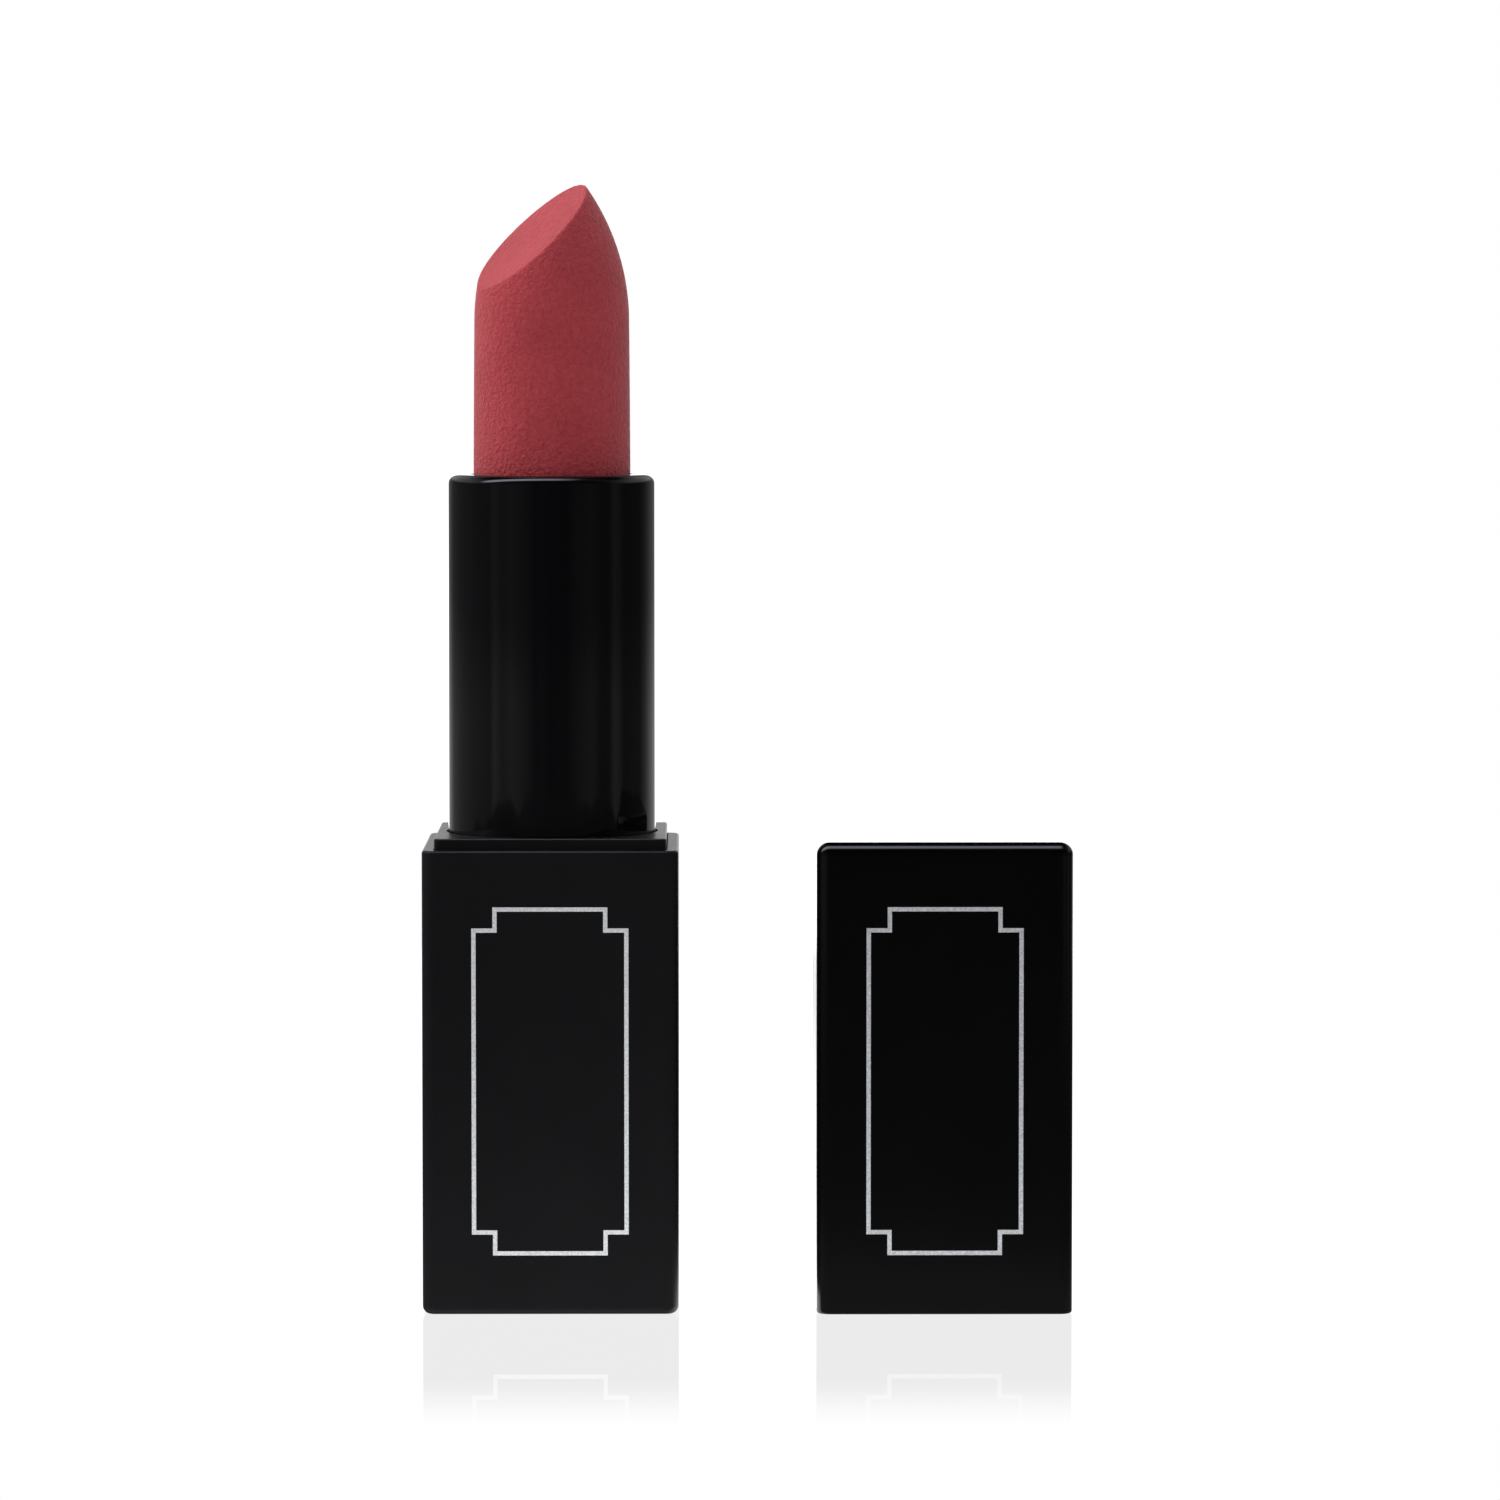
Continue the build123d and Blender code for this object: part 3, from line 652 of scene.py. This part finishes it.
def makeRoom():
    # Seen directly the room is white. A glossy surface sees a dark room with strips beside the camera, a low
    # white cyclorama behind, a softbox overhead, and two tall panels to the sides that show in the sleeve's
    # rounded rim. A matt one sees soft light that falls from the back and the left.
    look = {"soft": 0.76, "fromLeft": 0.3, "fromBack": 0.45, "fromAbove": 0.02,
            "horizon": 2.3, "horizonY": (0.93, 0.98), "box": 4.2, "boxZ": (0.3, 0.6), "boxTint": "#e4ebff",
            "wings": 0.42, "wingsX": (0.12, 0.4), "wingsY": (-0.3, 0.3)}
    # (degrees round from the camera's side, right is positive; level)
    strips = [(-180, 0.03), (-173, 0.05), (-166, 0.5), (-150, 0.34), (-140, 0.17), (-110, 0.13), (-72, 0.1),
              (-66, 0.24), (-56, 0.13), (-45, 0.19), (-36, 0.15), (-24, 0.07), (-17, 0.025), (-9, 0.04),
              (0, 0.02), (18, 0.025), (28, 0.065), (44, 0.12), (50, 0.1), (57, 0.04), (68, 0.05), (75, 0.2),
              (80, 0.16), (88, 0.05), (116, 0.05), (128, 0.16), (140, 0.34), (160, 0.5), (170, 0.4),
              (176, 0.04), (180, 0.03)]
    world = bpy.data.worlds.new("studio")
    bpy.context.scene.world = world
    world.use_nodes = True
    world.cycles.sampling_method = "NONE"
    tree = world.node_tree
    known = startLightTree(tree, "Generated")
    plan = [
        ("back", maths, {"operation": "MULTIPLY", 1: -1}, {0: "y"}),
        ("bearing", maths, {"operation": "ARCTAN2"}, {0: "x", 1: "back"}),
        ("turn", maths, {"operation": "MULTIPLY_ADD", 1: 1 / (2 * math.pi), 2: 0.5}, {0: "bearing"}),
        ("height", maths, {"operation": "MULTIPLY_ADD", 1: 0.5, 2: 0.5}, {0: "z"}),
        ("across", maths, {"operation": "MULTIPLY_ADD", 1: 0.5, 2: 0.5}, {0: "x"}),
        ("over", maths, {"operation": "ARCTAN2"}, {0: "z", 1: "back"}),
        ("rise", maths, {"operation": "DIVIDE", 1: math.pi}, {0: "over"}),
        ("width", maths, {"operation": "ABSOLUTE"}, {0: "x"}),
        ("around", ramp, {"stops": [(degrees / 360 + 0.5, level) for degrees, level in strips]},
         {"Fac": "turn"}),
        ("low", ramp, {"stops": [(0, 1), (0.465, 1), (0.485, 0.45), (0.63, 0.45), (0.68, 0.2), (0.75, 0.08),
                                 (0.85, 0.03), (1, 0.03)]}, {"Fac": "height"}),
        ("band", ramp, {"stops": [(0.4, 0), (0.42, 1), (0.595, 1), (0.612, 0)]}, {"Fac": "height"}),
        ("arch", ramp, {"stops": [(0.33, 0), (0.39, 1), (0.47, 1), (0.53, 0)]}, {"Fac": "rise"}),
        ("leftward", ramp, {"stops": [(0.35, 1), (0.53, 0.75), (0.68, 0.03), (1, 0)]}, {"Fac": "across"}),
        ("raised", ramp, {"stops": [(0.15, 0), (0.3, 1), (0.55, 1), (0.75, 0)]}, {"Fac": "z"}),
        ("rear", remap, {"From Min": look["wingsY"][0], "From Max": look["wingsY"][1]}, {"Value": "y"})]
    for name, value, limits, level in (("behind", "y", "horizonY", "horizon"), ("above", "z", "boxZ", "box"),
                                       ("aside", "width", "wingsX", "wings")):
        plan.append((name, remap, {"interpolation_type": "SMOOTHSTEP", "From Min": look[limits][0],
                                   "From Max": look[limits][1], "To Max": look[level]}, {"Value": value}))
    for name, operation, one, other in (
            ("walls", "MULTIPLY", "around", "low"), ("horizon", "MULTIPLY", "band", "behind"),
            ("overhead", "MULTIPLY", "arch", "above"), ("box", "MULTIPLY", "overhead", "leftward"),
            ("panels", "MULTIPLY", "aside", "raised"), ("wings", "MULTIPLY", "panels", "rear"),
            ("brighter", "MAXIMUM", "walls", "horizon"), ("lit", "ADD", "brighter", "box"),
            ("glossy", "ADD", "lit", "wings"), ("coolness", "MULTIPLY", "isGlossy", "arch")):
        plan.append((name, maths, {"operation": operation}, {0: one, 1: other}))
    plan += [
        ("leftSoft", maths, {"operation": "MULTIPLY_ADD", 1: -look["fromLeft"], 2: look["soft"]}, {0: "x"}),
        ("backSoft", maths, {"operation": "MULTIPLY_ADD", 1: look["fromBack"]}, {0: "y", 2: "leftSoft"}),
        ("topSoft", maths, {"operation": "MULTIPLY_ADD", 1: look["fromAbove"]}, {0: "z", 2: "backSoft"}),
        ("matt", maths, {"operation": "MAXIMUM", 1: 0.0}, {0: "topSoft"})]
    addChain(tree, known, plan + sightPlan)
    tint = addNode(tree, mix, {"data_type": "RGBA", 6: (1, 1, 1, 1), 7: linear(look["boxTint"])},
                   {0: known["coolness"]})
    shine = addNode(tree, "ShaderNodeBackground", {}, {"Color": tint.outputs[2], "Strength": known["seen"]})
    addNode(tree, "ShaderNodeOutputWorld", {}, {"Surface": shine.outputs["Background"]})


def makeFloor():
    # Pale polished acrylic drawn as a glowing sheet, white to the camera, with a faint mirror image that dies
    # away towards the camera.
    # Its glow is painted light: brighter to matt surfaces in a patch round the pieces, and between and behind
    # the two pieces it shines to glossy surfaces as brightly as the cyclorama: the aisle.
    look = {"radius": 0.3, "segments": 96, "fade": (0.066, 0.04), "mirror": 0.17, "matt": (1.9, 0.5),
            "gloss": (0.16, 0.035), "centre": (0.015, 0, 0), "patch": (0.02, 0.08), "aisle": 0.01513,
            "aisleHalf": (0.0051, 0.0066), "aisleSpread": 0.02, "aisleFrom": -0.0097, "aisleGloss": 2.3}
    work = bmesh.new()
    bmesh.ops.create_circle(work, cap_ends=True, segments=look["segments"], radius=look["radius"])
    mesh = bpy.data.meshes.new("floor")
    work.to_mesh(mesh)
    work.free()
    material = bpy.data.materials.new("glowingAcrylic")
    material.use_nodes = True
    material.cycles.emission_sampling = "NONE"
    tree = material.node_tree
    known = startLightTree(tree, "Object")
    known["away"] = addNode(tree, "ShaderNodeVectorMath", {"operation": "DISTANCE", 1: look["centre"]},
                            {0: known["place"]}).outputs["Value"]
    plan = [
        ("fade", remap, {"interpolation_type": "SMOOTHSTEP", "From Min": -look["fade"][0],
                         "From Max": -look["fade"][1], "To Max": look["mirror"]}, {"Value": "y"}),
        ("spread", remap, {"interpolation_type": "SMOOTHSTEP", "From Min": look["patch"][0],
                           "From Max": look["patch"][1]}, {"Value": "away"}),
        ("matt", remap, {"To Min": look["matt"][0], "To Max": look["matt"][1]}, {"Value": "spread"}),
        ("sheen", remap, {"To Min": look["gloss"][0], "To Max": look["gloss"][1]}, {"Value": "spread"}),
        ("offset", maths, {"operation": "SUBTRACT", 1: look["aisle"]}, {0: "x"}),
        ("beside", maths, {"operation": "ABSOLUTE"}, {0: "offset"}),
        ("sideways", maths, {"operation": "MULTIPLY_ADD", 1: -look["aisleSpread"]}, {0: "y", 2: "beside"}),
        ("within", remap, {"From Min": look["aisleHalf"][0], "From Max": look["aisleHalf"][1],
                           "To Min": look["aisleGloss"], "To Max": 0.0}, {"Value": "sideways"}),
        ("beyond", maths, {"operation": "GREATER_THAN", 1: look["aisleFrom"]}, {0: "y"}),
        ("aisle", maths, {"operation": "MULTIPLY"}, {0: "within", 1: "beyond"}),
        ("glossy", maths, {"operation": "MAXIMUM"}, {0: "sheen", 1: "aisle"})]
    addChain(tree, known, plan + sightPlan)
    # painted light: the floor glows, brightest to matt surfaces near the pieces and to glossy ones along the
    # aisle
    glow = addNode(tree, "ShaderNodeEmission", {}, {"Strength": known["seen"]})
    mirror = addNode(tree, "ShaderNodeBsdfGlossy", {"Roughness": 0.0})
    mixed = addNode(tree, "ShaderNodeMixShader", {},
                    {0: known["fade"], 1: glow.outputs[0], 2: mirror.outputs[0]})
    addNode(tree, "ShaderNodeOutputMaterial", {}, {"Surface": mixed.outputs[0]})
    mesh.materials.append(material)
    floor = bpy.data.objects.new("floor", mesh)
    bpy.context.scene.collection.objects.link(floor)


def makeKeyLight():
    # a weak soft key from the upper left, which only matt surfaces show
    look = {"place": (-0.3, 0.08, 0.45), "aim": (0, 0, 0.08), "size": (0.12, 0.12), "watts": 0.8}
    light = bpy.data.lights.new("key", "AREA")
    light.shape = "RECTANGLE"
    light.size, light.size_y = look["size"]
    light.energy = look["watts"]
    placeHolder("key", light, look).visible_glossy = False


makeCamera()
makeRoom()
makeFloor()
makeKeyLight()
bpy.context.scene.view_settings.view_transform = "Standard"
bpy.context.scene.view_settings.look = "None"
print("stage: studio set")
